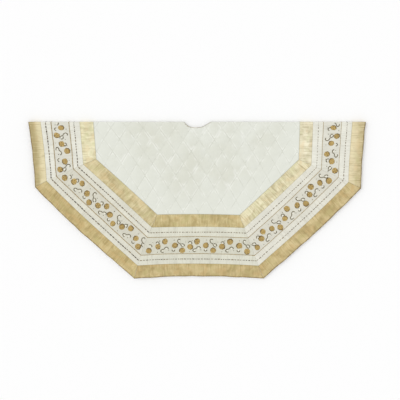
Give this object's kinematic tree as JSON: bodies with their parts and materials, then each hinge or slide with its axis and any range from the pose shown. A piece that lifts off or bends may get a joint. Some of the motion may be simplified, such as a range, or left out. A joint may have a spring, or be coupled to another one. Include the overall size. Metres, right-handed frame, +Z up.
{
  "type": "tree skirt",
  "caption": "Octagonal quilted tree skirt with gold borders and an embroidered band, folded in half at its trunk opening, with a slit at the back and a hook and loop closure.",
  "frame": {"origin": "middle of the folded skirt's underside, on the floor", "axes": "+X along the fold line, -Y towards the front edge, +Z up out of the face fabric"},
  "size_m": [1.372, 0.6858, 0.014],
  "materials": {
    "quilted_satin": "satin",
    "gold_satin": "satin",
    "embroidered_fabric": "satin",
    "batting": "matte",
    "lining_fabric": "matte",
    "fastener_tape": "matte"
  },
  "bodies": {
    "front_half": {"batting_of_front_half": "batting", "embroidered_band_front_left_of_front_half": "embroidered_fabric", "embroidered_band_front_of_front_half": "embroidered_fabric", "embroidered_band_front_right_of_front_half": "embroidered_fabric", "embroidered_band_left_end_of_front_half": "embroidered_fabric", "embroidered_band_right_end_of_front_half": "embroidered_fabric", "inner_border_front_left_of_front_half": "gold_satin", "inner_border_front_of_front_half": "gold_satin", "inner_border_front_right_of_front_half": "gold_satin", "inner_border_left_end_of_front_half": "gold_satin", "inner_border_right_end_of_front_half": "gold_satin", "lining_of_front_half": "lining_fabric", "outer_border_front_left_of_front_half": "gold_satin", "outer_border_front_of_front_half": "gold_satin", "outer_border_front_right_of_front_half": "gold_satin", "outer_border_left_end_of_front_half": "gold_satin", "outer_border_right_end_of_front_half": "gold_satin", "quilted_center_of_front_half": "quilted_satin"},
    "left_flap": {"batting_of_left_flap": "batting", "embroidered_band_back_left_of_left_flap": "embroidered_fabric", "embroidered_band_back_of_left_flap": "embroidered_fabric", "embroidered_band_left_end_of_left_flap": "embroidered_fabric", "inner_border_back_left_of_left_flap": "gold_satin", "inner_border_back_of_left_flap": "gold_satin", "inner_border_left_end_of_left_flap": "gold_satin", "lining_of_left_flap": "lining_fabric", "loop_patch_middle": "fastener_tape", "loop_patch_near_edge": "fastener_tape", "loop_patch_near_trunk": "fastener_tape", "outer_border_back_left_of_left_flap": "gold_satin", "outer_border_back_of_left_flap": "gold_satin", "outer_border_left_end_of_left_flap": "gold_satin", "quilted_center_of_left_flap": "quilted_satin", "slit_underlap_of_left_flap": "lining_fabric"},
    "right_flap": {"batting_of_right_flap": "batting", "embroidered_band_back_of_right_flap": "embroidered_fabric", "embroidered_band_back_right_of_right_flap": "embroidered_fabric", "embroidered_band_right_end_of_right_flap": "embroidered_fabric", "hook_patch_middle": "fastener_tape", "hook_patch_near_edge": "fastener_tape", "hook_patch_near_trunk": "fastener_tape", "inner_border_back_of_right_flap": "gold_satin", "inner_border_back_right_of_right_flap": "gold_satin", "inner_border_right_end_of_right_flap": "gold_satin", "lining_of_right_flap": "lining_fabric", "outer_border_back_of_right_flap": "gold_satin", "outer_border_back_right_of_right_flap": "gold_satin", "outer_border_right_end_of_right_flap": "gold_satin", "quilted_center_of_right_flap": "quilted_satin"}
  },
  "joints": [
    {"name": "left_flap_fold", "type": "hinge", "parent": "front_half", "child": "left_flap", "pos_m": [-0.35, 0.34308, 0.007], "axis": [1, 0, 0], "range_deg": [0, 180]},
    {"name": "right_flap_fold", "type": "hinge", "parent": "front_half", "child": "right_flap", "pos_m": [0.35, 0.34308, 0.007], "axis": [1, 0, 0], "range_deg": [0, 180]}
  ]
}
